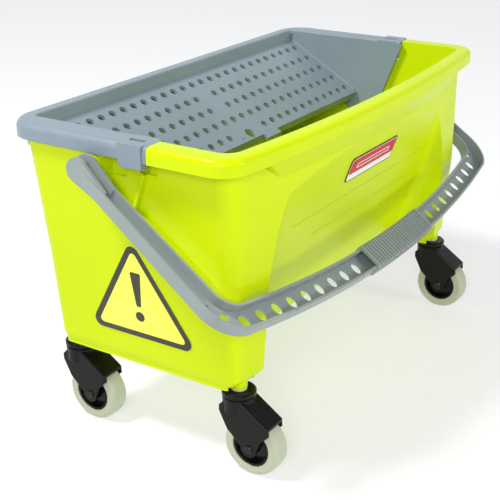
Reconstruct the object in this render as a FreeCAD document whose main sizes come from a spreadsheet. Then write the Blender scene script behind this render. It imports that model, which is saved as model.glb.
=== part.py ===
"""Flat-mop bucket on casters with a lift-out press wringer and a swinging bail handle.

Frame: millimetres, +Z up, X along the length, -Y is the front.  The origin is on the floor below the
middle of the whole object.  Everything is drawn in the bucket's own axes, where y = 0 lies midway between
the front and the back casters, and is moved by frame_shift when it is placed.
"""
import FreeCAD, Part
import math
import os
import re
import Sketcher
from FreeCAD import Placement, Rotation, Vector

SIZES = {
    # whole object
    "frame_shift": 14.3, "wall": 3.5, "bow_radius": 2049.0, "beyond": 600.0,
    # tub
    "tub_half": 258.5, "leg_half": 250.0, "skirt_half": 277.4, "leg_bottom": 91.0, "shelf_top": 207.0,
    "column_bottom": 200.0, "tub_bottom": 100.5, "column_inner": 208.0, "tub_front": -133.0,
    "tub_back": 118.0, "plinth_top": 97.0, "skirt_foot": 103.0, "rib_thick": 2.5, "gusset_pitch": 75.0,
    # front facet between the columns
    "facet_top": 302.0, "facet_lean": 0.36, "facet_top_half": 182.0, "facet_round": 14.0,
    # rim
    "rim_top": 340.0, "rim_bottom": 323.0, "rim_half": 280.5, "rim_front": -145.0, "rim_back": 145.0,
    "rim_corner": 28.0, "rim_round": 6.5, "cap_corner": 36.0, "cap_round": 7.5, "seam": -35.0,
    "seat_top": 334.0, "step_floor": 314.0,
    # end skirts: the ledge that the parked handle lies along
    "ledge_back": 22.0, "ledge_height": 292.0, "ledge_slope": 0.70,
    # snap latch between the wringer's cap and the rim
    "latch_front": -30.0, "latch_back": -3.0, "latch_bottom": 317.0, "latch_gap": 1.2, "tab_inner": 264.7,
    "tab_thick": 2.6, "tab_front": -22.0, "tab_back": -8.0,
    # press wringer
    "press_half": 254.5, "press_wall": 3.0, "press_back_y": 127.4, "press_back_z": 326.7,
    "press_front_y": 24.1, "press_front_z": 268.0, "press_thick": 4.0, "sieve_pitch": 18.4,
    "sieve_row": 22.35, "sieve_margin": 16.4, "sieve_hole": 9.5, "finger_hole": 14.0,
    # bail handle
    "pivot_y": 31.0, "pivot_z": 312.0, "bail_slope": 35.5, "arm_inner": 283.5, "arm_width": 18.0,
    "bar_reach": 231.3, "bar_bow": 1538.0, "bar_width": 27.0, "channel_low": -8.0, "channel_high": 5.0,
    "channel_wall": 2.6, "ear_thick": 4.2, "ear_skin": 1.4, "ear_reach": 36.0, "eye_radius": 12.5,
    "pin_radius": 4.0, "pin_root": 2.0, "boss_radius": 11.0, "boss_face": 282.5,
    "bar_hole": 6.0, "bar_hole_first": 82.3, "bar_hole_pitch": 23.5,
    "grip_half": 67.5, "grip_side": 2.0, "grip_under": 1.6, "grip_over": 3.6, "groove_half": 1.4,
    # casters
    "caster_x": 232.5, "caster_y": 102.5, "trail": 20.0, "wheel_radius": 31.5, "tyre_half": 11.0,
    "hub_radius": 21.0, "cheek_inner": 11.8, "cheek_outer": 15.0, "lobe_radius": 9.0, "drum_radius": 17.0,
    "drum_top": 83.0, "drum_bottom": 66.0, "cup_top": 89.0, "stem_radius": 5.0, "socket_radius": 6.5,
    "socket_deep": 40.0, "axle_radius": 3.0, "running_gap": 0.05,
}

doc = FreeCAD.newDocument("mop_bucket")
sheet = doc.addObject("Spreadsheet::Sheet", "sizes")
for row, (alias, number) in enumerate(SIZES.items(), start=1):
    sheet.set(f"A{row}", alias)
    sheet.set(f"B{row}", str(number))
    sheet.setAlias(f"B{row}", alias)
doc.recompute()

ALIAS = re.compile(r"[a-z][a-z_]*[a-z]")


def formula(text):
    """An expression over the sheet's aliases, as setExpression wants it."""
    return ALIAS.sub(lambda match: "sizes." + match[0] if match[0] in SIZES else match[0], str(text))


def value(text):
    """The number that such an expression has now."""
    return float(sheet.evalExpression(formula(text)))


def bind(thing, **properties):
    """Bind properties of an object to expressions over the sheet; __ in a name stands for a dot."""
    for name, text in properties.items():
        thing.setExpression(name.replace("__", "."), formula(text))


# ---------------------------------------------------------------- drawing helpers

PLANES = {"XY": "XY_Plane", "XZ": "XZ_Plane", "YZ": "YZ_Plane"}


def sketch_on(body, plane, name, offset="0"):
    """A sketch on one of the body's origin planes, moved along that plane's normal."""
    sketch = body.newObject("Sketcher::SketchObject", name)
    support = [feature for feature in body.Origin.OriginFeatures if feature.Role == PLANES[plane]]
    sketch.AttachmentSupport = [(support[0], "")]
    sketch.MapMode = "FlatFace"
    sketch.setExpression(".AttachmentOffset.Base.z", formula(offset))
    return sketch


def polygon(sketch, corners):
    """A closed polygon whose corners are pairs of expressions over the sheet."""
    points = [Vector(value(across), value(up), 0) for across, up in corners]
    count = len(points)
    first = sketch.GeometryCount
    for index in range(count):
        sketch.addGeometry(Part.LineSegment(points[index], points[(index + 1) % count]))
    for index in range(count):
        following = (index + 1) % count
        sketch.addConstraint(Sketcher.Constraint("Coincident", first + index, 2, first + following, 1))
    for index, corner in enumerate(corners):
        for kind, text, number in zip(("DistanceX", "DistanceY"), corner, points[index]):
            place = Sketcher.Constraint(kind, -1, 1, first + index, 1, number)
            sketch.setExpression(f"Constraints[{sketch.addConstraint(place)}]", formula(text))


def circle(sketch, across, up, radius):
    """A circle whose centre and radius are worked out from the sheet."""
    sketch.addGeometry(Part.Circle(Vector(value(across), value(up), 0), Vector(0, 0, 1), value(radius)))


def new_body(name):
    return doc.addObject("PartDesign::Body", name)


def pad(body, sketch, length, both_ways=False):
    """Pad a sketch along its normal, or half of the length each way."""
    feature = body.newObject("PartDesign::Pad", sketch.Name + "_pad")
    feature.Profile = sketch
    if both_ways:
        feature.SideType = "Symmetric"
    feature.setExpression("Length", formula(length))
    return feature


def prism(name, plane, corners, length, offset="0", both_ways=False):
    """A body that is one padded polygon."""
    body = new_body(name)
    sketch = sketch_on(body, plane, name + "_outline", offset)
    polygon(sketch, corners)
    pad(body, sketch, length, both_ways)
    return body


def box(name, across, deep, tall):
    """A Part::Box between three pairs of expressions."""
    block = doc.addObject("Part::Box", name)
    bind(block, Length=f"({across[1]}) - ({across[0]})", Width=f"({deep[1]}) - ({deep[0]})",
         Height=f"({tall[1]}) - ({tall[0]})")
    bind(block, Placement__Base__x=across[0], Placement__Base__y=deep[0], Placement__Base__z=tall[0])
    return block


def cylinder(name, radius, length, base, axis=Vector(0, 0, 1)):
    """A Part::Cylinder from a base point of three expressions, along an axis."""
    rod = doc.addObject("Part::Cylinder", name)
    bind(rod, Radius=radius, Height=length)
    rod.Placement = Placement(Vector(), Rotation(Vector(0, 0, 1), axis))
    bind(rod, Placement__Base__x=base[0], Placement__Base__y=base[1], Placement__Base__z=base[2])
    return rod


def fuse(name, pieces):
    joined = doc.addObject("Part::MultiFuse", name)
    joined.Shapes = pieces
    joined.Refine = False
    return joined


def cut(name, base, tools):
    """base less every tool, one after the other."""
    for index, tool in enumerate(tools, start=1):
        result = doc.addObject("Part::Cut", name if index == len(tools) else f"{name}_{index}")
        result.Base = base
        result.Tool = tool
        result.Refine = False
        base = result
    return base


def common(name, one, other):
    result = doc.addObject("Part::MultiCommon", name)
    result.Shapes = [one, other]
    return result


def mirrored(name, source):
    """The same piece at the other end of the bucket."""
    twin = doc.addObject("Part::Mirroring", name)
    twin.Source = source
    twin.Normal = Vector(1, 0, 0)
    return twin


def round_edges(name, base, radius, chosen):
    """A Part::Fillet on the edges of base that chosen() picks."""
    doc.recompute()
    result = doc.addObject("Part::Fillet", name)
    result.Base = base
    picked = [index for index, edge in enumerate(base.Shape.Edges, start=1) if chosen(edge)]
    result.Edges = [(index, value(radius), value(radius)) for index in picked]
    return result


def ends(edge):
    """The two end points of an edge, and the point half-way along it."""
    low, high = edge.ParameterRange
    return [edge.valueAt(parameter) for parameter in (low, high, (low + high) / 2)]


def corner_arc(line_point, line_way, centre, arc_radius, radius):
    """Tangent points of a corner of the given radius between a line and a circle that bulges past it.

    The line runs towards the circle, and the corner lies on the side of the line where x is smaller.
    """
    way = line_way.normalize()
    side = Vector(-abs(way.y), math.copysign(1, way.y) * way.x, 0)
    start = line_point + side * radius
    along = (centre - start).dot(way)
    off = (centre - start - way * along).Length
    middle = start + way * (along + math.sqrt((arc_radius - radius) ** 2 - off ** 2))
    on_line = line_point + way * (middle - line_point).dot(way)
    on_circle = centre + (middle - centre).normalize() * arc_radius
    bisector = ((on_line - middle) + (on_circle - middle)).normalize()
    return on_line, middle + bisector * radius, on_circle


def flip(point):
    return Vector(-point.x, point.y, 0)


def plan_outline(half, front, back, front_corner, back_corner, bowed=True):
    """Outline of the bucket seen from above: a bowed front, straight ends and a straight back."""
    if bowed:
        centre = Vector(0, front + value("bow_radius"), 0)
        low, low_mid, low_front = corner_arc(
            Vector(half, back, 0), Vector(0, -1, 0), centre, value("bow_radius"), front_corner)
        middle = Part.Arc(flip(low_front), Vector(0, front, 0), low_front)
    else:
        low = Vector(half, front + front_corner, 0)
        low_front = Vector(half - front_corner, front, 0)
        reach = front_corner * (1 - math.sqrt(0.5))
        low_mid = Vector(half - reach, front + reach, 0)
        middle = Part.LineSegment(flip(low_front), low_front)
    curves = [middle]
    if front_corner:
        curves += [Part.Arc(low_front, low_mid, low), Part.Arc(flip(low), flip(low_mid), flip(low_front))]
    high = Vector(half, back - back_corner, 0)
    high_back = Vector(half - back_corner, back, 0)
    curves += [Part.LineSegment(low, high), Part.LineSegment(high_back, flip(high_back))]
    if back_corner:
        reach = back_corner * (1 - math.sqrt(0.5))
        high_mid = Vector(half - reach, back - reach, 0)
        curves += [Part.Arc(high, high_mid, high_back), Part.Arc(flip(high_back), flip(high_mid), flip(high))]
    curves.append(Part.LineSegment(flip(high), flip(low)))
    return curves


def plan_sketch(body, name, level, *outline, **options):
    """That outline as a sketch at a level above the floor."""
    sketch = sketch_on(body, "XY", name, level)
    for curve in plan_outline(*[value(text) for text in outline], **options):
        sketch.addGeometry(curve)
    return sketch


def plan_prism(name, low, high, *outline, **options):
    """A straight prism on a plan outline between two levels."""
    body = new_body(name)
    sketch = plan_sketch(body, name + "_plan", low, *outline, **options)
    pad(body, sketch, f"({high}) - ({low})")
    return body


def plan_loft(name, *sections, **options):
    """A ruled loft through plan outlines; a section is its level and then its outline."""
    body = new_body(name)
    sketches = [plan_sketch(body, f"{name}_{index}", *section, **options)
                for index, section in enumerate(sections)]
    loft = body.newObject("PartDesign::AdditiveLoft", name + "_loft")
    loft.Profile = sketches[0]
    loft.Sections = sketches[1:]
    loft.Ruled = True
    return body


def revolved(name, corners):
    """A body turned about Z from a half profile of (radius, level) corners."""
    body = new_body(name)
    sketch = sketch_on(body, "XZ", name + "_profile")
    polygon(sketch, corners)
    turn = body.newObject("PartDesign::Revolution", name + "_turned")
    turn.Profile = sketch
    turn.ReferenceAxis = (sketch, ["V_Axis"])
    turn.Angle = 360
    return body


def copy_of(name, source, placement):
    """A sub-part that repeats a drawn piece somewhere else."""
    piece = doc.addObject("Part::Feature", name)
    piece.Shape = source.Shape.copy()
    piece.Placement = placement.multiply(source.Shape.Placement)
    return piece


nodes = []
ACROSS = Vector(1, 0, 0)


def keep(piece, label):
    """Name a finished sub-part and move it from the bucket's axes to the object's frame."""
    piece.Label = label
    moved = piece.Placement.copy()
    moved.Base.y += value("frame_shift")
    piece.Placement = moved
    nodes.append(piece)


# ---------------------------------------------------------------- bucket

SKIRT_SLOPE = "(skirt_half - leg_half) / (seat_top - leg_bottom)"
COLUMN_HALF = f"leg_half + {SKIRT_SLOPE} * (column_bottom - leg_bottom)"
FRONT_CLEAR = 200


def skirt_half_at(level):
    return f"leg_half + {SKIRT_SLOPE} * (({level}) - leg_bottom)"


def facet_y(level):
    """y of the leaning front facet at a level."""
    return f"tub_front + facet_lean * (facet_top - ({level}))"


def front_tool(name, extra):
    """What is scooped out of the front between the columns, grown by extra for the inside of the wall."""
    lean_extra = f"({extra}) * sqrt(1 + facet_lean * facet_lean)"
    low, high, shoulder = "leg_bottom - 20", "facet_top + 8", "facet_top - 19"
    wide, narrow = f"column_inner + {extra}", f"facet_top_half + {extra}"
    right = [(wide, low), (wide, "column_bottom"), (narrow, shoulder), (narrow, high)]
    left = [(f"-({across})", up) for across, up in reversed(right)]
    across = prism(name + "_front", "XZ", right + left, "beyond", both_ways=True)
    deep = prism(name + "_side", "YZ", [
        (f"{facet_y(low)} + {lean_extra}", low), (f"{facet_y(high)} + {lean_extra}", high),
        (f"-{FRONT_CLEAR}", high), (f"-{FRONT_CLEAR}", low)], "beyond", both_ways=True)
    block = common(name + "_block", across, deep)

    def beside_facet(edge):
        points = ends(edge)
        sloping = all(abs(point.y - value(f"{facet_y(point.z)} + {lean_extra}")) < 0.01 for point in points)
        upright = all(abs(abs(point.x) - abs(points[0].x)) < 40 for point in points)
        return sloping and upright and abs(points[0].x) > 100

    return round_edges(name, block, f"facet_round + {extra}", beside_facet)


def tub_outside():
    """Columns, legs, end skirts and the scooped front, still solid."""
    upper = plan_prism("upper_tub", "column_bottom", "rim_bottom + 7", COLUMN_HALF, "tub_front", "100",
                       "20", "20")
    plinth = plan_prism("plinth", "leg_bottom", "plinth_top", "leg_half - 1.2", "tub_front + 17",
                        "tub_back - 6.5", "8", "8")
    skirts = plan_loft(
        "skirts",
        ("plinth_top - 1", "leg_half - 0.5", "tub_front + 13", "tub_back - 7", "8", "8"),
        ("skirt_foot", skirt_half_at("skirt_foot"), "tub_front + 6.4", "tub_back - 4.2", "9", "9"),
        ("column_bottom", COLUMN_HALF, "tub_front", "tub_back", "20", "16"),
        ("seat_top", "skirt_half", "tub_front", "tub_back + 4.5", "20", "16"))
    ledge_foot = "ledge_back - (ledge_height - column_bottom) / ledge_slope"
    above_ledge = prism("above_ledge", "YZ", [
        ("ledge_back", "rim_top + 10"), ("ledge_back", "ledge_height"), (ledge_foot, "column_bottom"),
        (f"-{FRONT_CLEAR}", "column_bottom"), (f"-{FRONT_CLEAR}", "rim_top + 10")], "beyond", both_ways=True)
    lower = cut("lower_tub", skirts, [above_ledge])
    return cut("scooped", fuse("tub_blank", [upper, lower, plinth]), [front_tool("scoop", "0")])


def rim_channel(name, low, high):
    """Hollow under one end of the front rim, between the column and the rim's lip."""
    return box("rim_channel_" + name, (low, high), ("-104", "seam - wall"),
               ("rim_bottom - 1", "rim_top - wall"))


def rim_and_seat():
    """Front rim, the flare under it, and the lower seat that the wringer's cap covers."""
    front = plan_prism("front_rim", "rim_bottom", "rim_top", "rim_half", "rim_front", "seam",
                       "rim_corner", "0")

    def on_top(edge):
        points = ends(edge)
        high = min(point.z for point in points) > value("rim_top") - 0.01
        return high and min(point.y for point in points) < value("seam") - 1

    rounded = round_edges("front_rim_rounded", front, "rim_round", on_top)
    hollow = cut("front_rim_hollow", rounded, [
        rim_channel("left", "-(rim_half - wall)", f"-({COLUMN_HALF})"),
        rim_channel("right", COLUMN_HALF, "rim_half - wall")])
    flare = plan_loft(
        "flare",
        ("facet_top - 3", "190", "tub_front + 0.5", "-100", "4", "4"),
        ("rim_bottom + 4", "226", "rim_front + 0.4", "-100", "4", "4"))
    step = plan_prism("back_step", "step_floor - 3", "seat_top", "tub_half + wall", "tub_back - 8",
                      "tub_back + 17", "0", "10", bowed=False)
    flange = plan_prism("seat_flange", "seat_top - 4", "seat_top", "skirt_half", "100", "rim_back - wall",
                        "0", "cap_corner - wall", bowed=False)
    shelves = [box("seat_shelf_" + name, span, ("seam", "ledge_back + 2"), ("seat_top - 8", "seat_top"))
               for name, span in (("left", ("-skirt_half", "-258")), ("right", ("258", "skirt_half")))]
    gussets = []
    for index in range(-3, 4):
        across = (f"{index} * gusset_pitch - rib_thick / 2", f"{index} * gusset_pitch + rib_thick / 2")
        gussets.append(box(f"back_gusset_{index + 3}", across, ("tub_back + 2", "rim_back - 8"),
                           ("seat_top - 14", "seat_top - 2")))
    return [hollow, flare, step, flange] + shelves + gussets


def tub_inside():
    """The space that holds water, with the wringer's step at the back."""
    upper = plan_loft(
        "upper_space",
        ("shelf_top", "tub_half", "tub_front + wall", "tub_back - wall", "17", "14"),
        ("rim_top + 5", "tub_half", "tub_front + wall", "tub_back + 0.7", "17", "14"))
    lower = plan_loft(
        "lower_space",
        ("tub_bottom + 4", "column_inner - 7", "-110", "tub_back - 8.5", "12", "14"),
        ("shelf_top + 3", "column_inner - 0.5", "-110", "tub_back - wall", "12", "14"))
    step = plan_prism("step_space", "step_floor", "rim_top + 5", "tub_half", "60", "tub_back + 13.5",
                      "0", "6.5", bowed=False)
    spaces = fuse("spaces", [upper, lower, step])
    return cut("water_space", spaces, [front_tool("scoop_inner", "wall + 0.3")])


def rounded_rectangle(sketch, low, high, corner):
    """A rectangle between two corner points, with its own corners rounded."""
    turns = [(high.x, low.y), (high.x, high.y), (low.x, high.y), (low.x, low.y)]
    inward = [(-1, 1), (-1, -1), (1, -1), (1, 1)]
    reach = corner * (1 - math.sqrt(0.5))
    arcs = []
    for index, ((across, up), (right, above)) in enumerate(zip(turns, inward)):
        level = Vector(across + right * corner, up, 0)
        upright = Vector(across, up + above * corner, 0)
        middle = Vector(across + right * reach, up + above * reach, 0)
        arcs.append((level, middle, upright) if index % 2 == 0 else (upright, middle, level))
    for index, (begin, middle, end) in enumerate(arcs):
        sketch.addGeometry(Part.Arc(begin, middle, end))
        sketch.addGeometry(Part.LineSegment(end, arcs[(index + 1) % 4][0]))


def leg_hollow():
    """The right-hand legs and skirt are open from below."""
    body = new_body("leg_hollow")
    sections = []
    for name, level, front, back, corner in (
            ("foot", "leg_bottom - 6", "-107.4", "tub_back - 10.5", 5),
            ("head", "shelf_top - 4", "-113.4", "tub_back - wall", 14)):
        sketch = sketch_on(body, "XY", "leg_hollow_" + name, level)
        low = Vector(value("column_inner + wall"), value(front), 0)
        high = Vector(value(f"{skirt_half_at(level)} - wall"), value(back), 0)
        rounded_rectangle(sketch, low, high, corner)
        sections.append(sketch)
    loft = body.newObject("PartDesign::AdditiveLoft", "leg_hollow_loft")
    loft.Profile = sections[0]
    loft.Sections = sections[1:]
    loft.Ruled = True
    return body


def leg_rib(name, depth, low):
    """A rib across the leg, from the tub's wall to the leaning skirt."""
    high = "shelf_top - 2"
    return prism(name, "XZ", [
        ("column_inner + 2", low), (f"{skirt_half_at(low)} - 1.5", low),
        (f"{skirt_half_at(high)} - 1.5", high), ("column_inner + 2", high)],
        "rib_thick", offset=f"-({depth}) - rib_thick / 2")


def end_openings():
    """What is cut away at the right-hand end: leg hollow, latch notch, shallow windows, skirt pockets."""
    away = [leg_hollow()]
    away.append(box("latch_notch", ("tub_half - 3", "rim_half + 2"),
                    ("latch_front - latch_gap", "latch_back + latch_gap"),
                    ("latch_bottom - latch_gap", "rim_top + 5")))
    shallow = ("tub_half + 1.4", "tub_half + 4.5")
    away.append(box("rear_window", shallow, ("3.5", "ledge_back"), ("300", "316")))
    away.append(box("front_window", shallow, ("seam + 2", "tab_front + 8"), ("307", "latch_bottom")))
    for name, low, high in (("front", "46", "77"), ("back", "80", "110")):
        away.append(prism("skirt_pocket_" + name, "XZ", [
            (COLUMN_HALF, "seat_top - 88"), (f"{COLUMN_HALF} + 2", "seat_top - 88"),
            (f"{skirt_half_at('rim_top')} - wall", "rim_top"), (COLUMN_HALF, "rim_top")],
            f"{high} - {low}", offset=f"-({high})"))
    return away


def end_additions():
    """What the right-hand end carries: socket tubes, ribs, pivot boss, ledge gusset and latch tab."""
    added = []
    for name, depth in (("front", "-caster_y"), ("back", "caster_y")):
        added.append(cylinder(f"socket_tube_{name}", "socket_radius + 2.2", "shelf_top - 2 - leg_bottom",
                              ("caster_x", depth, "leg_bottom")))
        added.append(leg_rib(f"leg_rib_{name}", depth, "skirt_foot"))
    added.append(leg_rib("middle_rib", "0", "leg_bottom + 30"))
    added.append(prism("long_rib", "YZ", [
        ("-111", "leg_bottom + 30"), ("tub_back - 5", "leg_bottom + 30"), ("tub_back - 1.7", "shelf_top - 2"),
        ("-116", "shelf_top - 2")], "rib_thick", offset="caster_x - rib_thick / 2"))
    added.append(cylinder("pivot_boss", "boss_radius", "boss_face - tub_half",
                          ("tub_half", "pivot_y", "pivot_z"), ACROSS))
    added.append(prism("ledge_gusset", "YZ", [
        ("-24", "308"), ("-20.5", "308"), ("-5.5", "268"), ("-9", "268")], "10", offset="tub_half + 1"))
    added.append(box("latch_foot", ("tub_half + 2", "tab_inner + tab_thick"), ("tab_front", "tab_back"),
                     ("latch_bottom - 6", "latch_bottom - latch_gap - 0.2")))
    added.append(box("latch_tab", ("tab_inner", "tab_inner + tab_thick"), ("tab_front", "tab_back"),
                     ("latch_bottom - 5", "seat_top + 2")))
    return added


def end_bores():
    """Blind holes for the pivot pin and the two caster sockets."""
    bores = [cylinder("pin_bore", "pin_radius", "boss_face - tub_half - pin_root + 1",
                      ("tub_half + pin_root", "pivot_y", "pivot_z"), ACROSS)]
    for name, depth in (("front", "-caster_y"), ("back", "caster_y")):
        bores.append(cylinder(f"socket_bore_{name}", "socket_radius", "socket_deep + 1.5",
                              ("caster_x", depth, "leg_bottom - 1")))
    return bores


def facet_line(name, level, low, high):
    """A fine raised line along the facet, half sunk in it."""
    return box(name, (low, high), (f"{facet_y(level)} - 0.6", f"{facet_y(level)} + 1"),
               (f"{level} - 0.6", f"{level} + 0.6"))


def both_ends(pieces):
    return pieces + [mirrored(piece.Name + "_left", piece) for piece in pieces]


def bucket_shell():
    """The yellow moulding: solid outside, less its hollows, plus its details, less the bores."""
    below = box("below_tub", ("-column_inner", "column_inner"), (f"-{FRONT_CLEAR}", f"{FRONT_CLEAR}"),
                ("leg_bottom - 20", "tub_bottom"))
    solid = fuse("bucket_solid", [tub_outside()] + rim_and_seat())
    hollow = cut("bucket_hollow", solid, [tub_inside(), below] + both_ends(end_openings()))
    lines = [facet_line("facet_line_high", "230", "-140", "190"),
             facet_line("facet_line_low", "200", "-80", "150")]
    built = fuse("bucket_built", [hollow] + both_ends(end_additions()) + lines)
    keep(cut("bucket_whole", built, both_ends(end_bores())), "bucket_shell")


# ---------------------------------------------------------------- press wringer

PRESS_RISE = SIZES["press_back_z"] - SIZES["press_front_z"]
PRESS_RUN = SIZES["press_back_y"] - SIZES["press_front_y"]
PRESS_LENGTH = "sqrt((press_back_y - press_front_y)^2 + (press_back_z - press_front_z)^2)"


def plate_pad(body, name, across, along, depth, length):
    """A rectangular pad on the plate, from a depth below its upper face."""
    sketch = sketch_on(body, "XY", name, f"-({depth})")
    polygon(sketch, [(across[0], along[0]), (across[1], along[0]),
                     (across[1], along[1]), (across[0], along[1])])
    pad(body, sketch, length)


def sieve_holes(body):
    """Five rows of drain holes, with plain patches left in three of them, and a finger hole at the front."""
    holes = sketch_on(body, "XY", "press_holes")
    columns, rows = 13, 5
    left_out = {1: (0,), 2: (0,), 4: (-1, 0, 1)}
    for row in range(rows):
        along = f"{PRESS_LENGTH} - sieve_margin - {row} * sieve_row"
        for column in range(-columns, columns + 1):
            if column not in left_out.get(row, ()):
                circle(holes, f"{column} * sieve_pitch", along, "sieve_hole / 2")
    circle(holes, "0", "9", "finger_hole / 2")
    circle(holes, "-sieve_pitch", "5.5", "1.5")
    doc.recompute()
    pocket = body.newObject("PartDesign::Pocket", "press_sieve")
    pocket.Profile = holes
    pocket.Length = 14


def press_plate():
    """The sieve plate, drawn flat with its front edge on y = 0 and then tilted into place."""
    body = new_body("press_plate")
    half = "press_half - press_wall / 2"
    full = (f"-({half})", half)
    plate_pad(body, "press_slab", full, ("0", f"{PRESS_LENGTH} + 2.5"), "press_thick", "press_thick")
    plate_pad(body, "press_lip", full, ("0", "3"), "12", "12")
    plate_pad(body, "press_tongue", ("18", "47"), ("-7", "1"), "press_thick", "press_thick")
    for side, name in ((-1, "left"), (1, "right")):
        for place in (3.5, 7.5, 11.5):
            middle = f"{side * place} * sieve_pitch"
            across = (f"{middle} - 1.5", f"{middle} + 1.5")
            plate_pad(body, f"press_rib_{name}_{int(place)}", across, ("1", "97"), "13", "13 - press_thick / 2")
    sieve_holes(body)
    tilt = Rotation(ACROSS, math.degrees(math.atan2(PRESS_RISE, PRESS_RUN)))
    body.Placement = Placement(Vector(0, value("press_front_y"), value("press_front_z")), tilt)
    return body


def wringer_cap(inner):
    """The cap over the back half of the rim: a round-topped channel, open in the middle."""
    outer = plan_prism("cap_outer", "rim_bottom + 0.5", "rim_top", "rim_half", "seam + 0.6", "rim_back", "0",
                       "cap_corner", bowed=False)

    def outer_top(edge):
        points = ends(edge)
        high = min(point.z for point in points) > value("rim_top") - 0.01
        return high and max(point.y for point in points) > value("seam") + 5

    rounded = round_edges("cap_rounded", outer, "cap_round", outer_top)
    under = plan_prism("cap_under", "rim_bottom - 1", "seat_top + 0.4", "skirt_half + 0.3", "-60",
                       "rim_back - wall + 0.7", "0", "cap_corner - wall", bowed=False)
    opening = plan_prism("cap_opening", "rim_bottom - 1", "rim_top + 1", inner, "-60", "press_back_y",
                         "0", "6", bowed=False)
    cap = cut("cap_open", rounded, [under, opening])

    def inner_top(edge):
        points = ends(edge)
        high = min(point.z for point in points) > value("rim_top") - 0.01
        inside = max(abs(point.x) for point in points) < value(inner) + 0.01
        return high and inside and max(point.y for point in points) > value("seam") + 5

    return round_edges("cap", cap, "2.4", inner_top)


def press_wringer():
    """Cap over the rim, two end panels, back wall, sieve plate and latch blocks in one moulding."""
    inner = "press_half - press_wall"
    below_cap = "rim_top - 3"
    panel = prism("end_panel", "YZ", [
        ("-38.1", below_cap), ("-13", "273"), ("0.5", "236"), ("18", "233"), ("113", "296"),
        ("113", "step_floor + 4"), ("press_back_y + wall", "step_floor + 4"),
        ("press_back_y + wall", below_cap)], "press_wall", offset=inner)
    wall = box("press_back", (f"-({inner} + 1)", f"{inner} + 1"), ("press_back_y", "press_back_y + wall"),
               ("press_back_z - 5", below_cap))
    latch = box("latch_block", (inner, "rim_half + 1.5"), ("latch_front", "latch_back"),
                ("latch_bottom", "rim_top"))
    slot = box("latch_slot", ("tab_inner - 1.5", "tab_inner + tab_thick + 1.5"),
               ("tab_front - 2", "tab_back + 2"), ("latch_bottom - 1", "rim_top + 1"))
    pieces = [wringer_cap(inner), press_plate(), panel, mirrored("end_panel_left", panel), wall, latch,
              mirrored("latch_block_left", latch)]
    trim = box("press_trim", ("-260", "260"), ("press_back_y + wall", "rim_back - wall + 0.6"),
               ("250", "seat_top + 0.4"))
    keep(cut("press_whole", fuse("press_built", pieces), both_ends([slot]) + [trim]), "press_wringer")


# ---------------------------------------------------------------- bail handle

BAIL_ANGLE = math.radians(SIZES["bail_slope"])


def bail_placement():
    """From the bail's own axes (x across, y out from the pivot, z to the face of the channel)."""
    out = Vector(0, -math.cos(BAIL_ANGLE), -math.sin(BAIL_ANGLE))
    face = Vector(0, -math.sin(BAIL_ANGLE), math.cos(BAIL_ANGLE))
    pivot = Vector(0, value("pivot_y"), value("pivot_z"))
    return Placement(pivot, Rotation(Vector(-1, 0, 0), out, face, "XYZ"))


def bail_side(inset, corner, outside):
    """Points of one edge of the bail, from the foot of the right arm to the middle of the bar."""
    sign = 1 if outside else -1
    foot = value("arm_inner + arm_width") - inset if outside else value("arm_inner") + inset
    spread = 8.0 if outside else 2.0
    radius = value("bar_bow") + sign * (value("bar_width") / 2 - inset)
    centre = Vector(0, value("bar_reach - bar_bow"), 0)
    start = Vector(foot, 0, 0)
    on_arm, between, on_bar = corner_arc(start, Vector(spread, 180, 0), centre, radius, corner)
    return start, on_arm, between, on_bar, Vector(0, centre.y + radius, 0)


def bail_outline(inset, foot_level):
    """Closed outline of the U, drawn in by inset all round."""
    curves = []
    feet = []
    for outside, corner in ((True, 42.0 - inset), (False, 24.0 + inset)):
        start, on_arm, between, on_bar, top = bail_side(inset, corner, outside)
        way = on_arm - start
        foot = start + way * (foot_level / way.y)
        feet.append(foot)
        curves += [Part.LineSegment(foot, on_arm), Part.LineSegment(flip(foot), flip(on_arm)),
                   Part.Arc(on_arm, between, on_bar), Part.Arc(flip(on_arm), flip(between), flip(on_bar)),
                   Part.Arc(flip(on_bar), top, on_bar)]
    curves += [Part.LineSegment(feet[0], feet[1]), Part.LineSegment(flip(feet[0]), flip(feet[1]))]
    return curves


def slot_hole(sketch, across, middle, radius, stretch):
    """An upright oblong hole."""
    left, right = across - radius, across + radius
    for way in (-1, 1):
        level = middle + way * stretch
        crown = Vector(across, level + way * radius, 0)
        sketch.addGeometry(Part.Arc(Vector(left, level, 0), crown, Vector(right, level, 0)))
    for side in (left, right):
        low = Vector(side, middle - stretch, 0)
        sketch.addGeometry(Part.LineSegment(low, low + Vector(0, 2 * stretch, 0)))


def bail_channel():
    """The U-shaped channel with lightening holes in its web, drawn flat."""
    body = new_body("bail_channel")
    outline = sketch_on(body, "XY", "bail_outline", "channel_low")
    for curve in bail_outline(0.0, 6.0):
        outline.addGeometry(curve)
    pad(body, outline, "channel_high - channel_low")
    trough = sketch_on(body, "XY", "bail_trough", "channel_high")
    for curve in bail_outline(value("channel_wall"), -20.0):
        trough.addGeometry(curve)
    doc.recompute()
    pocket = body.newObject("PartDesign::Pocket", "bail_trough_cut")
    pocket.Profile = trough
    pocket.setExpression("Length", formula("channel_high - channel_low - channel_wall"))
    doc.recompute()

    holes = sketch_on(body, "XY", "bail_holes", "channel_high")
    holes_each_side = 9
    for side in (-1, 1):
        for index in range(holes_each_side):
            across = value(f"bar_hole_first + {index} * bar_hole_pitch")
            middle = value("bar_reach") - across ** 2 / (2 * value("bar_bow"))
            slot_hole(holes, side * across, middle, value("bar_hole"), 1.0)
        circle(holes, str(side * 287.0), "193.5", "5")
        circle(holes, str(side * 296.3), "177", "3.5")
    through = body.newObject("PartDesign::Pocket", "bail_holes_cut")
    through.Profile = holes
    through.Length = 20
    body.Placement = bail_placement()
    return body


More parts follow.
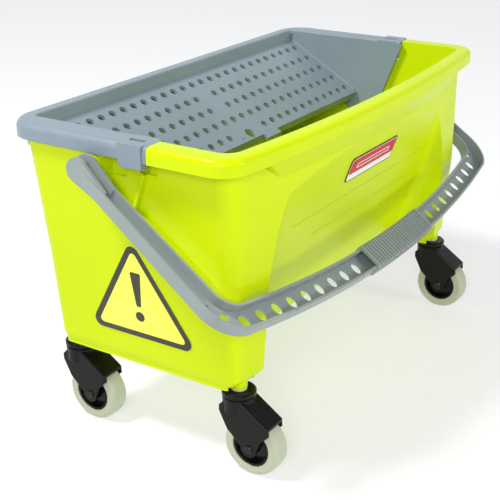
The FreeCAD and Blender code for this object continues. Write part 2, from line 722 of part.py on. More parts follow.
def bail_ear(name, start):
    """A flat ear round the pivot that tapers into the arm; start is its face nearer the bucket."""
    disc = cylinder(f"bail_ear_{name}", "eye_radius", "ear_thick", (start, "pivot_y", "pivot_z"), ACROSS)
    cheek = prism(f"bail_cheek_{name}", "YZ", [
        ("0", "-eye_radius"), ("ear_reach", "channel_low"), ("ear_reach", "channel_high"),
        ("0", "eye_radius")], "ear_thick", offset=f"-({start}) - ear_thick")
    cheek.Placement = bail_placement()
    return [disc, cheek]


def handle_bail():
    """The channel, and two ears round each pivot; the outer ear keeps a skin over the pin's end."""
    ears = bail_ear("inner", "arm_inner") + bail_ear("outer", "arm_inner + arm_width - ear_thick")
    built = fuse("bail_built", [bail_channel()] + both_ends(ears))
    bore = cylinder("bail_bore", "pin_radius + running_gap", "arm_width - ear_skin + 2",
                    ("arm_inner - 2", "pivot_y", "pivot_z"), ACROSS)
    reach = "eye_radius + 3.5"
    fork = box("bail_fork", ("arm_inner + ear_thick", "arm_inner + arm_width - ear_thick"),
               (f"pivot_y - ({reach})", f"pivot_y + {reach}"), (f"pivot_z - ({reach})", f"pivot_z + {reach}"))
    keep(cut("bail_whole", built, both_ends([bore, fork])), "handle_bail")


def band(name, half, spread, low, high):
    """A slab that follows the bar: half is its half length, spread its half width."""
    body = new_body(name)
    sketch = sketch_on(body, "XY", name + "_outline", low)
    centre = Vector(0, value("bar_reach - bar_bow"), 0)
    corners = []
    for radius in (value(f"bar_bow - ({spread})"), value(f"bar_bow + {spread}")):
        reach = value(half)
        end = Vector(reach, centre.y + math.sqrt(radius ** 2 - reach ** 2), 0)
        corners.append(end)
        sketch.addGeometry(Part.Arc(flip(end), Vector(0, centre.y + radius, 0), end))
    sketch.addGeometry(Part.LineSegment(corners[0], corners[1]))
    sketch.addGeometry(Part.LineSegment(flip(corners[0]), flip(corners[1])))
    pad(body, sketch, f"({high}) - ({low})")
    return body


def handle_grip():
    """A ribbed sleeve round the middle of the bar."""
    spread = "bar_width / 2"
    sleeve = band("grip_sleeve", "grip_half", f"{spread} + grip_side", "channel_low - grip_under",
                  "channel_high + grip_over")
    rounded = round_edges("grip_rounded", sleeve, "3.4", lambda edge: edge.Length > 100)
    core = band("grip_core", "grip_half + 2", f"{spread} + 0.9", "channel_low - 0.8", "channel_high + 0.9")
    groove_count = 24
    grooves = []
    for index in range(groove_count):
        middle = f"(2 * {index} - {groove_count} + 1) * grip_half / {groove_count + 1}"
        grooves.append(box(f"grip_groove_{index}", (f"{middle} - groove_half", f"{middle} + groove_half"),
                           ("bar_reach - 30", "bar_reach + 30"), ("channel_low - 20", "channel_high + 20")))
    cuts = cut("grip_grooves", fuse("grip_slabs", grooves), [core])
    bore = band("grip_bore", "grip_half + 2", spread, "channel_low", "channel_high")
    grip = cut("grip_whole", rounded, [cuts, bore])
    doc.recompute()
    grip.Placement = bail_placement()
    keep(grip, "handle_grip")


def pivot_pins():
    """A pin pressed into each boss; the bail is sprung over the two of them."""
    pin = cylinder("pivot_pin", "pin_radius", "arm_inner + arm_width - ear_skin - 0.3 - tub_half - pin_root",
                   ("tub_half + pin_root", "pivot_y", "pivot_z"), ACROSS)
    keep(mirrored("pivot_pin_twin", pin), "pivot_pin_left")
    doc.recompute()
    keep(copy_of("pivot_pin_copy", pin, Placement()), "pivot_pin_right")


# ---------------------------------------------------------------- labels

def rounded_plate(name, corners, radius, thickness):
    """A thin plate whose outline is a polygon with rounded corners."""
    plate = prism(name, "XY", corners, thickness)
    height = value(thickness)
    return round_edges(name + "_rounded", plate, radius, lambda edge: abs(edge.Length - height) < 1e-6)


def end_labels():
    """A caution triangle on each end skirt, which leans out as it rises."""
    foot = "126"
    lean = math.degrees(math.atan2(value("skirt_half - leg_half"), value("seat_top - leg_bottom")))
    for label, side in (("hazard_label_left", -1), ("hazard_label_right", 1)):
        plate = rounded_plate(label + "_plate", [("-66", "0"), ("66", "0"), ("0", "115")], "9", "0.6")
        turn = Rotation(Vector(0, 0, 1), 90 * side).multiply(Rotation(ACROSS, 90 + lean))
        plate.Placement = Placement(Vector(side * value(skirt_half_at(foot)), -1, value(foot)), turn)
        keep(plate, label)


def front_badge():
    """A plain rounded badge on the front facet."""
    level = "265"
    lean = math.degrees(math.atan(value("facet_lean")))
    outline = [("-55", "-15"), ("55", "-15"), ("55", "15"), ("-55", "15")]
    plate = rounded_plate("badge_plate", outline, "5", "1")
    plate.Placement = Placement(Vector(10, value(facet_y(level)), value(level)), Rotation(ACROSS, 90 + lean))
    keep(plate, "front_badge")


# ---------------------------------------------------------------- casters, drawn round their swivel axis

def caster_socket():
    """Sleeve pushed up into the leg, with a flange under it."""
    return revolved("socket", [
        ("stem_radius", "cup_top"), ("8.2", "cup_top"), ("8.2", "leg_bottom"),
        ("socket_radius", "leg_bottom"),
        ("socket_radius", "leg_bottom + socket_deep - 1"), ("socket_radius - 1", "leg_bottom + socket_deep"),
        ("stem_radius", "leg_bottom + socket_deep")])


def caster_stem():
    """Plain stem, with a clinched head that carries the drum."""
    return revolved("stem", [("0", "drum_bottom + 1"), ("8", "drum_bottom + 1"), ("8", "drum_bottom + 3.5"),
                             ("stem_radius", "drum_bottom + 3.5"), ("stem_radius", "leg_bottom + 33"),
                             ("stem_radius - 1", "leg_bottom + 35"), ("0", "leg_bottom + 35")])


def caster_cup():
    """Shallow upside-down cup over the ball ring."""
    return revolved("cup", [
        ("stem_radius", "cup_top - 2"), ("15.4", "cup_top - 2"), ("15.4", "drum_top + 0.8"),
        ("17.6", "drum_top + 0.8"), ("17.6", "cup_top - 1.4"), ("16.2", "cup_top"), ("stem_radius", "cup_top")])


def caster_balls():
    """A ring of balls between the drum and the cup."""
    balls = []
    count = 12
    ring_radius = 11
    level = value("(cup_top - 2 + drum_top) / 2")
    for index in range(count):
        turn = 2 * math.pi * index / count
        ball = doc.addObject("Part::Sphere", f"ball_{index}")
        bind(ball, Radius="(cup_top - 2 - drum_top) / 2 - running_gap")
        middle = Vector(ring_radius * math.cos(turn), ring_radius * math.sin(turn), level)
        ball.Placement = Placement(middle, Rotation())
        balls.append(ball)
    ring = doc.addObject("Part::Compound", "balls")
    ring.Links = balls
    return ring


def caster_horn():
    """Drum, sloping bridge over the wheel and two cheeks that run down to a round lobe at the axle."""
    side = prism("horn_side", "YZ", [
        ("15.5", "drum_bottom"), ("15.5", "drum_bottom + 6"), ("8", "drum_top - 3"),
        ("-10", "drum_top - 1.5"), ("-trail - 22", "60"), ("-trail - 22.5", "52"), ("-trail - 13", "42"),
        ("-trail - lobe_radius", "wheel_radius"), ("-trail + lobe_radius", "wheel_radius"), ("6", "47")],
        "2 * cheek_outer", both_ways=True)

    def outline_edge(edge):
        points = ends(edge)
        above_axle = max(point.z for point in points) > value("wheel_radius") + 1
        return above_axle and abs(points[0].x - points[1].x) < 1e-6

    rounded = round_edges("horn_side_rounded", side, "1.8", outline_edge)
    lobe = cylinder("horn_lobe", "lobe_radius", "2 * cheek_outer",
                    ("-cheek_outer", "-trail", "wheel_radius"), ACROSS)
    drum = revolved("horn_drum", [
        ("0", "drum_bottom"), ("drum_radius - 1", "drum_bottom"), ("drum_radius", "drum_bottom + 1"),
        ("drum_radius", "drum_top - 1.5"), ("drum_radius - 1.5", "drum_top"), ("0", "drum_top")])
    well = cylinder("wheel_well", "wheel_radius + 2.5", "2 * cheek_inner",
                    ("-cheek_inner", "-trail", "wheel_radius"), ACROSS)
    below = box("below_well", ("-cheek_inner", "cheek_inner"), ("-trail - 34", "-trail + 34"),
                ("0", "wheel_radius"))
    bore = cylinder("stem_bore", "stem_radius + running_gap", "drum_top", ("0", "0", "0"))
    recess = cylinder("head_recess", "9", "drum_bottom + 3.8", ("0", "0", "0"))
    axle_bore = cylinder("axle_bore", "axle_radius", "40", ("-20", "-trail", "wheel_radius"), ACROSS)
    built = fuse("horn_built", [rounded, lobe, drum])
    return cut("horn_whole", built, [well, below, bore, recess, axle_bore])


def axle_placement():
    """From a piece's own turning axis to the axle."""
    return Placement(Vector(0, -value("trail"), value("wheel_radius")), Rotation(Vector(0, 0, 1), ACROSS))


def turned_on_axle(name, corners):
    """A piece turned about the axle from (radius, offset) corners."""
    piece = revolved(name, corners)
    piece.Placement = axle_placement()
    return piece


def caster_axle():
    """Riveted axle with a low head on each side."""
    side = [("axle_radius", "-cheek_outer"), ("4.6", "-cheek_outer"), ("4.6", "-cheek_outer - 0.8"),
            ("3.8", "-cheek_outer - 1.4"), ("0", "-cheek_outer - 1.4")]
    return turned_on_axle("axle", side + [(radius, f"-({level})") for radius, level in reversed(side)])


def caster_bushing():
    half = "cheek_inner - 0.3"
    bore = "axle_radius + running_gap"
    return turned_on_axle("bushing", [(bore, f"-({half})"), ("5", f"-({half})"), ("5", half), (bore, half)])


def caster_core():
    """Moulded wheel centre: hub, thin web and rim, dished on both sides."""
    right = [("5", "cheek_inner - 0.8"), ("7.5", "cheek_inner - 0.8"), ("8.5", "5"), ("17.5", "3.5"),
             ("18.6", "tyre_half - 1.5"), ("hub_radius", "tyre_half - 1.5")]
    return turned_on_axle("core", right + [(radius, f"-({level})") for radius, level in reversed(right)])


def caster_tyre():
    """Tyre with a flat tread and rounded shoulders."""
    body = new_body("tyre")
    sketch = sketch_on(body, "XZ", "tyre_profile")
    inner, outer, half = value("hub_radius"), value("wheel_radius"), value("tyre_half")
    shoulder = 4.5
    reach = shoulder * (1 - math.sqrt(0.5))
    side = outer - shoulder
    sketch.addGeometry(Part.LineSegment(Vector(inner, -half, 0), Vector(side, -half, 0)))
    sketch.addGeometry(Part.Arc(Vector(side, -half, 0), Vector(outer - reach, reach - half, 0),
                                Vector(outer, shoulder - half, 0)))
    sketch.addGeometry(Part.LineSegment(Vector(outer, shoulder - half, 0), Vector(outer, half - shoulder, 0)))
    sketch.addGeometry(Part.Arc(Vector(outer, half - shoulder, 0), Vector(outer - reach, half - reach, 0),
                                Vector(side, half, 0)))
    sketch.addGeometry(Part.LineSegment(Vector(side, half, 0), Vector(inner, half, 0)))
    sketch.addGeometry(Part.LineSegment(Vector(inner, half, 0), Vector(inner, -half, 0)))
    turn = body.newObject("PartDesign::Revolution", "tyre_turned")
    turn.Profile = sketch
    turn.ReferenceAxis = (sketch, ["V_Axis"])
    turn.Angle = 360
    body.Placement = axle_placement()
    return body


def casters():
    """Four casters of the same pieces."""
    pieces = {"socket": caster_socket(), "stem": caster_stem(), "cup": caster_cup(), "balls": caster_balls(),
              "horn": caster_horn(), "axle": caster_axle(), "bushing": caster_bushing(),
              "wheel_core": caster_core(), "tyre": caster_tyre()}
    doc.recompute()
    corners = {"front_left": (-1, -1), "front_right": (1, -1), "back_left": (-1, 1), "back_right": (1, 1)}
    for corner, (across, deep) in corners.items():
        place = Placement(Vector(across * value("caster_x"), deep * value("caster_y"), 0), Rotation())
        for kind, piece in pieces.items():
            keep(copy_of(f"{kind}_{corner}", piece, place), f"caster_{corner}_{kind}")


# ---------------------------------------------------------------- build, check and write

bucket_shell()
press_wringer()
handle_bail()
handle_grip()
pivot_pins()
end_labels()
front_badge()
casters()
doc.recompute()

for thing in doc.Objects:
    if "Invalid" in thing.State or "Error" in thing.State:
        raise RuntimeError(f"{thing.Name} failed: {thing.State}")
for node in nodes:
    if node.Shape.isNull() or not node.Shape.isValid() or not node.Shape.Solids:
        raise RuntimeError(f"{node.Label} has no valid shape")
os.makedirs("parts", exist_ok=True)
for node in nodes:
    node.Shape.exportStep(f"parts/{node.Label}.step")
    print(f"{node.Label}: {len(node.Shape.Solids)} solid(s), {node.Shape.Volume / 1000:.1f} cm3")
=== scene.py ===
import math

import bmesh
import bpy
from mathutils import Matrix, Vector


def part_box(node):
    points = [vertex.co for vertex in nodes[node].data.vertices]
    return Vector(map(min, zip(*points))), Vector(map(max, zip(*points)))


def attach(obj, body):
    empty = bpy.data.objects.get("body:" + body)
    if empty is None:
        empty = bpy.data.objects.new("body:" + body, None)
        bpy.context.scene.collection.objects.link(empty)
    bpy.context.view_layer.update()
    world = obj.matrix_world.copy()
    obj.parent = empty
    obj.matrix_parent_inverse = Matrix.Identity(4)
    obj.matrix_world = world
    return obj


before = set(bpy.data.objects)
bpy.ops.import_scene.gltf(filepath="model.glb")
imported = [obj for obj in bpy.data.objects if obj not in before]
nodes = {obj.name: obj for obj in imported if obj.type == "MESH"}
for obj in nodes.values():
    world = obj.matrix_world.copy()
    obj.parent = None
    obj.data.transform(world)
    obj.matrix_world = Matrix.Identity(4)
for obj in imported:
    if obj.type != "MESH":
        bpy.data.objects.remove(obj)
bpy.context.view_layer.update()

CORNERS = ("front_left", "front_right", "back_left", "back_right")

# ---------------------------------------------------------------- node helpers


def shader(name):
    """A fresh material with its Principled BSDF."""
    material = bpy.data.materials.new(name)
    material.use_nodes = True
    return material, material.node_tree, material.node_tree.nodes["Principled BSDF"]


def add(tree, kind, links=None, **values):
    """A node with its inputs set by name, or linked when the value is a socket."""
    node = tree.nodes.new(kind)
    for key, value in values.items():
        if key in node.inputs:
            target = node.inputs[key]
            if isinstance(value, bpy.types.NodeSocket):
                tree.links.new(value, target)
            else:
                target.default_value = value
        else:
            setattr(node, key, value)
    for key, value in (links or {}).items():
        if isinstance(value, bpy.types.NodeSocket):
            tree.links.new(value, node.inputs[key])
        else:
            node.inputs[key].default_value = value
    return node


def noise(tree, where, scale, detail=3.0, roughness=0.55):
    """A noise value over the given coordinates."""
    links = {"Vector": where, "Scale": scale, "Detail": detail, "Roughness": roughness}
    return add(tree, "ShaderNodeTexNoise", links).outputs["Fac"]


def span(tree, value, low, high, to_low, to_high):
    """value taken from the range low..high to the range to_low..to_high."""
    links = {"Value": value, "From Min": low, "From Max": high, "To Min": to_low, "To Max": to_high}
    return add(tree, "ShaderNodeMapRange", links).outputs["Result"]


def blend_colour(tree, amount, one, other):
    """A colour between one and the other."""
    mix = tree.nodes.new("ShaderNodeMix")
    mix.data_type = "RGBA"
    for index, value in ((0, amount), (6, one), (7, other)):
        if isinstance(value, bpy.types.NodeSocket):
            tree.links.new(value, mix.inputs[index])
        else:
            mix.inputs[index].default_value = value
    return mix.outputs[2]


def bumped(tree, bsdf, layers, normal=None):
    """Chain of bumps on a first normal: each layer is (height socket, strength, distance in metres)."""
    for height, strength, distance in layers:
        node = add(tree, "ShaderNodeBump", {"Height": height, "Strength": strength, "Distance": distance})
        if normal is not None:
            tree.links.new(normal, node.inputs["Normal"])
        normal = node.outputs["Normal"]
    tree.links.new(normal, bsdf.inputs["Normal"])


def rgba(red, green, blue):
    """An sRGB colour of 0..255 channels as linear RGBA."""
    def linear(channel):
        part = channel / 255
        return part / 12.92 if part <= 0.04045 else ((part + 0.055) / 1.055) ** 2.4
    return linear(red), linear(green), linear(blue), 1.0


# ---------------------------------------------------------------- materials


def moulded(name, colour, deep, roughness, grain=0.00003, coat=0.0, scatter=0.0, edge=0.0007, shine=0.4):
    """Injection-moulded plastic: faint mottling, a fine grain, flow marks in the gloss and eased edges."""
    material, tree, bsdf = shader(name)
    where = add(tree, "ShaderNodeTexCoord").outputs["Object"]
    cloud = noise(tree, where, 7.0, 4.0)
    fine = noise(tree, where, 1100.0, 2.0)
    stretched = add(tree, "ShaderNodeMapping", {"Vector": where, "Scale": (2.0, 2.0, 14.0)}).outputs["Vector"]
    flow = noise(tree, stretched, 3.0, 3.0)
    scuffs = noise(tree, where, 160.0, 6.0, 0.7)
    base = blend_colour(tree, span(tree, cloud, 0.3, 0.7, 0.0, 1.0), colour, deep)
    tree.links.new(base, bsdf.inputs["Base Color"])
    gloss = add(tree, "ShaderNodeMath", operation="ADD")
    tree.links.new(span(tree, flow, 0.3, 0.7, roughness - 0.03, roughness + 0.03), gloss.inputs[0])
    tree.links.new(span(tree, scuffs, 0.55, 0.8, 0.0, 0.10), gloss.inputs[1])
    tree.links.new(gloss.outputs["Value"], bsdf.inputs["Roughness"])
    bsdf.inputs["IOR"].default_value = 1.45
    bsdf.inputs["Specular IOR Level"].default_value = shine
    bsdf.inputs["Coat Weight"].default_value = coat
    bsdf.inputs["Coat Roughness"].default_value = 0.10
    if scatter:
        bsdf.inputs["Subsurface Weight"].default_value = scatter
        bsdf.inputs["Subsurface Radius"].default_value = (0.004, 0.003, 0.001)
        bsdf.inputs["Subsurface Scale"].default_value = 0.5
    eased = add(tree, "ShaderNodeBevel", {"Radius": edge})
    eased.samples = 6
    bumped(tree, bsdf, [(cloud, 0.05, 0.0004), (fine, 0.12, grain)], eased.outputs["Normal"])
    return material


def metal(name, colour, roughness):
    """Plated or blackened steel with fine turning marks."""
    material, tree, bsdf = shader(name)
    where = add(tree, "ShaderNodeTexCoord").outputs["Object"]
    squeezed = add(tree, "ShaderNodeMapping", {"Vector": where, "Scale": (40.0, 400.0, 400.0)})
    turned = noise(tree, squeezed.outputs["Vector"], 3.0, 4.0)
    dark = tuple(channel * 0.75 for channel in colour[:3]) + (1.0,)
    tree.links.new(blend_colour(tree, turned, colour, dark), bsdf.inputs["Base Color"])
    bsdf.inputs["Metallic"].default_value = 1.0
    tree.links.new(span(tree, turned, 0.3, 0.7, roughness - 0.08, roughness + 0.10), bsdf.inputs["Roughness"])
    bumped(tree, bsdf, [(turned, 0.2, 0.00005)])
    return material


YELLOW = moulded("yellow_plastic", rgba(197, 217, 6), rgba(191, 212, 3), 0.30, scatter=0.04, shine=0.16)
GREY = moulded("grey_plastic", rgba(130, 145, 154), rgba(120, 135, 145), 0.34)
HANDLE = moulded("grey_green_plastic", rgba(142, 152, 150), rgba(132, 142, 142), 0.34)
BLACK = moulded("black_plastic", rgba(18, 19, 16), rgba(11, 12, 10), 0.24, shine=0.22)
TYRE = moulded("pale_tyre", rgba(178, 184, 160), rgba(164, 170, 146), 0.42, scatter=0.1)
NYLON = moulded("nylon", rgba(222, 220, 210), rgba(205, 203, 192), 0.45, scatter=0.2)
STEEL = metal("plated_steel", rgba(170, 172, 176), 0.32)
RIVET = metal("blackened_steel", rgba(58, 58, 56), 0.34)
LABEL = moulded("label_film", rgba(232, 240, 92), rgba(226, 236, 80), 0.26, edge=0.0001)
PRINT = moulded("label_print", rgba(62, 58, 48), rgba(50, 47, 38), 0.32, edge=0.0001)
BADGE = moulded("badge_red", rgba(204, 20, 52), rgba(186, 14, 42), 0.22, coat=0.3, edge=0.0001)
BADGE_EDGE = moulded("badge_border", rgba(58, 34, 32), rgba(46, 26, 25), 0.26, coat=0.3, edge=0.0002)
BADGE_PALE = moulded("badge_pale", rgba(240, 238, 236), rgba(230, 228, 226), 0.26, coat=0.3, edge=0.0001)


def dress(node, material):
    """Give a CAD node its material."""
    thing = nodes[node]
    thing.data.materials.clear()
    thing.data.materials.append(material)


dress("bucket_shell", YELLOW)
dress("press_wringer", GREY)
for name in ("handle_bail", "handle_grip"):
    dress(name, HANDLE)
for name in ("pivot_pin_left", "pivot_pin_right"):
    dress(name, STEEL)
for name in ("hazard_label_left", "hazard_label_right"):
    dress(name, LABEL)
dress("front_badge", BADGE_EDGE)
CASTER_MATERIALS = (("socket", NYLON), ("stem", STEEL), ("cup", BLACK), ("balls", STEEL), ("horn", BLACK),
                    ("axle", RIVET), ("bushing", NYLON), ("wheel_core", BLACK), ("tyre", TYRE))
for corner in CORNERS:
    for kind, material in CASTER_MATERIALS:
        dress(f"caster_{corner}_{kind}", material)

# ---------------------------------------------------------------- printed film on the labels and the badge

INK = 0.00012             # thickness of one printed layer
TIP_CUT = 0.0085          # how far the sharp triangle runs past its rounded tips
BORDER_OUTSET, BORDER_ROUND = 0.0003, 0.0087
FIELD_INSET, FIELD_ROUND = 0.0066, 0.0040
STROKE_LOW, STROKE_HIGH = 0.0370, 0.0760
STROKE_THIN, STROKE_WIDE, STROKE_ROUND = 0.0028, 0.0066, 0.0020
DOT_LEVEL, DOT_RADIUS = 0.0255, 0.0056
BADGE_BORDER = 0.0016
BADGE_GAP = 0.0008
BADGE_LINE = 0.0011


def rounded(corners, radius, steps=6):
    """A closed polygon with round corners, counter-clockwise."""
    points = []
    count = len(corners)
    for index, here in enumerate(corners):
        back = (corners[index - 1] - here).normalized()
        ahead = (corners[(index + 1) % count] - here).normalized()
        half = back.angle(ahead) / 2
        middle = here + (back + ahead).normalized() * (radius / math.sin(half))
        start = here + back * (radius / math.tan(half)) - middle
        sweep = math.pi - 2 * half
        for step in range(steps + 1):
            turn = sweep * step / steps
            points.append(middle + Vector((start.x * math.cos(turn) - start.y * math.sin(turn),
                                           start.x * math.sin(turn) + start.y * math.cos(turn))))
    return points


def disc(middle, radius, steps=28):
    """A closed circle round a middle point."""
    points = []
    for step in range(steps):
        turn = 2 * math.pi * step / steps
        points.append(Vector((middle[0] + radius * math.cos(turn), middle[1] + radius * math.sin(turn))))
    return points


def film(name, outlines, thickness, frame_matrix, material, body="bucket"):
    """Thin printed film: outlines in metres on the film's own plane, inner ones cut holes."""
    curve = bpy.data.curves.new(name, "CURVE")
    curve.dimensions = "2D"
    curve.fill_mode = "BOTH"
    curve.extrude = thickness / 2
    for outline in outlines:
        spline = curve.splines.new("POLY")
        spline.points.add(len(outline) - 1)
        for point, place in zip(spline.points, outline):
            point.co = (place.x, place.y, 0, 1)
        spline.use_cyclic_u = True
    flat = bpy.data.objects.new(name + "_curve", curve)
    bpy.context.scene.collection.objects.link(flat)
    bpy.context.view_layer.update()
    mesh = bpy.data.meshes.new_from_object(flat.evaluated_get(bpy.context.evaluated_depsgraph_get()))
    bpy.data.objects.remove(flat)
    mesh.transform(frame_matrix @ Matrix.Translation((0, 0, thickness / 2)))
    piece = bpy.data.objects.new(name, mesh)
    bpy.context.scene.collection.objects.link(piece)
    mesh.materials.clear()
    mesh.materials.append(material)
    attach(piece, body)


def outer_face(node, toward):
    """Placement of a thin plate's outer face (right, up, out), with its width and height in metres."""
    mesh = nodes[node].data
    facing = [face for face in mesh.polygons if face.normal.dot(toward) > 0.5]
    out = sum((face.normal * face.area for face in facing), Vector()).normalized()
    up = (Vector((0, 0, 1)) - out * out.z).normalized()
    right = up.cross(out)
    points = [mesh.vertices[index].co for face in facing for index in face.vertices]
    across = [point.dot(right) for point in points]
    high = [point.dot(up) for point in points]
    sideways, upward = (min(across) + max(across)), (min(high) + max(high))
    middle = right * sideways / 2 + up * upward / 2 + out * points[0].dot(out)
    turn = Matrix((right, up, out)).transposed().to_4x4()
    return Matrix.Translation(middle) @ turn, max(across) - min(across), max(high) - min(high)


def shrunk(outline, inset):
    """A convex counter-clockwise polygon with each side moved in by inset."""
    lines = []
    for here, ahead in zip(outline, outline[1:] + outline[:1]):
        along = (ahead - here).normalized()
        lines.append((here + Vector((-along.y, along.x)) * inset, along))
    corners = []
    for (one, way), (other, turn) in zip(lines[-1:] + lines[:-1], lines):
        gap = other - one
        corners.append(one + way * (gap.cross(turn) / way.cross(turn)))
    return corners


def caution_signs():
    """A bordered triangle with an exclamation mark on each end."""
    for toward, end in ((Vector((-1, 0, 0)), "left"), (Vector((1, 0, 0)), "right")):
        place, width, height = outer_face(f"hazard_label_{end}", toward)
        foot = -height / 2
        sides = [Vector((-width / 2 - TIP_CUT, foot)), Vector((width / 2 + TIP_CUT, foot)),
                 Vector((0, height / 2 + TIP_CUT))]
        outer = rounded(shrunk(sides, BORDER_OUTSET), BORDER_ROUND)
        inner = rounded(shrunk(sides, FIELD_INSET), FIELD_ROUND)
        film(f"caution_border_{end}", [outer, inner], INK, place, PRINT)
        stroke = [Vector((-STROKE_THIN, foot + STROKE_LOW)), Vector((STROKE_THIN, foot + STROKE_LOW)),
                  Vector((STROKE_WIDE, foot + STROKE_HIGH)), Vector((-STROKE_WIDE, foot + STROKE_HIGH))]
        film(f"caution_stroke_{end}", [rounded(stroke, STROKE_ROUND)], INK, place, PRINT)
        film(f"caution_dot_{end}", [disc((0, foot + DOT_LEVEL), DOT_RADIUS)], INK, place, PRINT)


def slab(left, right, low, high, radius):
    """A rectangle with round corners."""
    corners = [Vector((left, low)), Vector((right, low)), Vector((right, high)), Vector((left, high))]
    return rounded(corners, radius)


def badge_print():
    """A red field over a pale foot inside the badge's dark border, with a thin pale frame in the field."""
    place, width, height = outer_face("front_badge", Vector((0, -1, 0)))
    half_x, half_y = width / 2 - BADGE_BORDER, height / 2 - BADGE_BORDER
    split = -half_y * 0.42
    film("badge_pale_foot", [slab(-half_x, half_x, -half_y, half_y, 0.0036)], INK, place, BADGE_PALE)
    field = slab(-half_x + BADGE_GAP, half_x - BADGE_GAP, split, half_y - BADGE_GAP, 0.0030)
    film("badge_field", [field], 2 * INK, place, BADGE)
    low, high = split * 0.05, half_y * 0.42
    outer = slab(-half_x * 0.72, half_x * 0.72, low, high, 0.0016)
    inner = slab(-half_x * 0.69, half_x * 0.69, low + BADGE_LINE, high - BADGE_LINE, 0.0010)
    film("badge_line", [outer, inner], 3 * INK, place, BADGE_PALE)


caution_signs()
badge_print()

# ---------------------------------------------------------------- wringer details

FILLET_RADIUS = 0.0018
FILLET_SINK = 0.0004      # how far the bead's middle lies inside the panel and above the plate
FILLET_REACH = 0.0025     # where the plate's height is read, beside the panel
FILLET_BACK, FILLET_FRONT = 0.0195, 0.0655   # ends of the bead, from the wringer's back and front


def ray_hit(node, start, way):
    """Where a ray first meets a CAD node."""
    found, place, *_ = nodes[node].ray_cast(start, way)
    if not found:
        raise RuntimeError(f"nothing of {node} that way")
    return place


def plate_fillets():
    """A rounded bead in the corner between the sieve plate and each end panel."""
    low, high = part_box("press_wringer")
    down = Vector((0, 0, -1))
    inside = Vector((0, (low.y + high.y) / 2 + 0.035, high.z - 0.004))
    for side, end in ((-1, "left"), (1, "right")):
        panel = ray_hit("press_wringer", inside, Vector((side, 0, 0)))
        across = panel.x - side * FILLET_SINK
        points = []
        for depth in (high.y - FILLET_BACK, low.y + FILLET_FRONT):
            above = Vector((across - side * FILLET_REACH, depth, high.z + 0.01))
            top = ray_hit("press_wringer", above, down)
            points.append(Vector((across, depth, top.z + FILLET_SINK)))
        bead = bpy.data.curves.new("plate_fillet", "CURVE")
        bead.dimensions = "3D"
        bead.bevel_depth = FILLET_RADIUS
        bead.bevel_resolution = 4
        bead.use_fill_caps = True
        spline = bead.splines.new("POLY")
        spline.points.add(len(points) - 1)
        for point, place in zip(spline.points, points):
            point.co = (*place, 1)
        thing = bpy.data.objects.new(f"plate_fillet_{end}", bead)
        bpy.context.scene.collection.objects.link(thing)
        bead.materials.append(GREY)
        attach(thing, "wringer")


plate_fillets()

# ---------------------------------------------------------------- floor, light and camera

VIEW_YAW, VIEW_PITCH, VIEW_ROLL = (math.radians(angle) for angle in (32.77, 22.64, -0.31))
VIEW_PLACE = (-1.0237, -0.6113, 0.6330)
VIEW_LENS = 78.4
SENSOR_WIDTH = 36
FLOOR_FRONT, SWEEP_START, SWEEP_RADIUS = -6.0, 2.6, 2.0
SWEEP_TOP, FLOOR_HALF_WIDTH = 6.0, 7
SWEEP_STEPS = 16


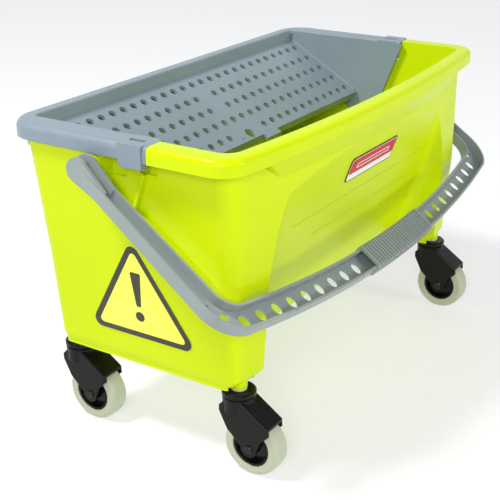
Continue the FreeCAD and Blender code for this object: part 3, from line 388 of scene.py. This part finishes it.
def stage_floor():
    """A large pale floor that rises behind the object."""
    mesh = bmesh.new()
    profile = [(FLOOR_FRONT, 0.0), (SWEEP_START, 0.0)]
    for step in range(1, SWEEP_STEPS + 1):
        turn = math.pi / 2 * step / SWEEP_STEPS
        profile.append((SWEEP_START + SWEEP_RADIUS * math.sin(turn), SWEEP_RADIUS * (1 - math.cos(turn))))
    profile.append((SWEEP_START + SWEEP_RADIUS, SWEEP_TOP))
    rows = []
    look = Vector((math.cos(VIEW_YAW), math.sin(VIEW_YAW), 0))
    side = Vector((-look.y, look.x, 0))
    for along, height in profile:
        row = []
        for offset in (-FLOOR_HALF_WIDTH, FLOOR_HALF_WIDTH):
            row.append(mesh.verts.new(look * along + side * offset + Vector((0, 0, height))))
        rows.append(row)
    for one, other in zip(rows, rows[1:]):
        mesh.faces.new((one[0], one[1], other[1], other[0])).smooth = True
    data = bpy.data.meshes.new("floor")
    mesh.to_mesh(data)
    mesh.free()
    floor = bpy.data.objects.new("floor", data)
    bpy.context.scene.collection.objects.link(floor)
    material, tree, bsdf = shader("floor_paper")
    where = add(tree, "ShaderNodeTexCoord").outputs["Object"]
    grain = noise(tree, where, 60.0, 4.0)
    paper = blend_colour(tree, grain, rgba(180, 181, 183), rgba(176, 177, 179))
    tree.links.new(paper, bsdf.inputs["Base Color"])
    bsdf.inputs["Emission Color"].default_value = (1, 1, 1, 1)
    bsdf.inputs["Emission Strength"].default_value = 0.52
    bsdf.inputs["Roughness"].default_value = 0.9
    bsdf.inputs["Specular IOR Level"].default_value = 0.1
    data.materials.append(material)


def soft_light(name, place, target, size, power):
    """A white disc light that faces the target."""
    data = bpy.data.lights.new(name, "AREA")
    data.shape = "DISK"
    data.size = size
    data.energy = power
    lamp = bpy.data.objects.new(name, data)
    bpy.context.scene.collection.objects.link(lamp)
    lamp.location = place
    lamp.rotation_euler = (Vector(target) - Vector(place)).to_track_quat("-Z", "Y").to_euler()


def lights():
    """An even white surround, a key from above at the back, and two fills from the left and the front."""
    world = bpy.data.worlds.new("studio")
    bpy.context.scene.world = world
    world.use_nodes = True
    background = world.node_tree.nodes["Background"]
    background.inputs["Color"].default_value = (1, 1, 1, 1)
    background.inputs["Strength"].default_value = 0.36
    middle = (0, 0, 0.2)
    soft_light("key", (-1.1, 0.9, 2.5), middle, 0.6, 62)
    soft_light("fill", (-2.3, -1.1, 1.4), middle, 0.9, 36)
    soft_light("low_front", (0.4, -2.5, 0.7), middle, 0.6, 24)


def camera():
    """The camera at the working view."""
    data = bpy.data.cameras.new("camera")
    data.sensor_width = SENSOR_WIDTH
    data.lens = VIEW_LENS
    eye = bpy.data.objects.new("camera", data)
    bpy.context.scene.collection.objects.link(eye)
    level = math.cos(VIEW_PITCH)
    forward = Vector((math.cos(VIEW_YAW) * level, math.sin(VIEW_YAW) * level, -math.sin(VIEW_PITCH)))
    turn = forward.to_track_quat("-Z", "Y").to_matrix().to_4x4() @ Matrix.Rotation(VIEW_ROLL, 4, "Z")
    eye.matrix_world = Matrix.Translation(VIEW_PLACE) @ turn
    bpy.context.scene.camera = eye


bpy.context.scene.view_settings.view_transform = "Standard"
stage_floor()
lights()
camera()
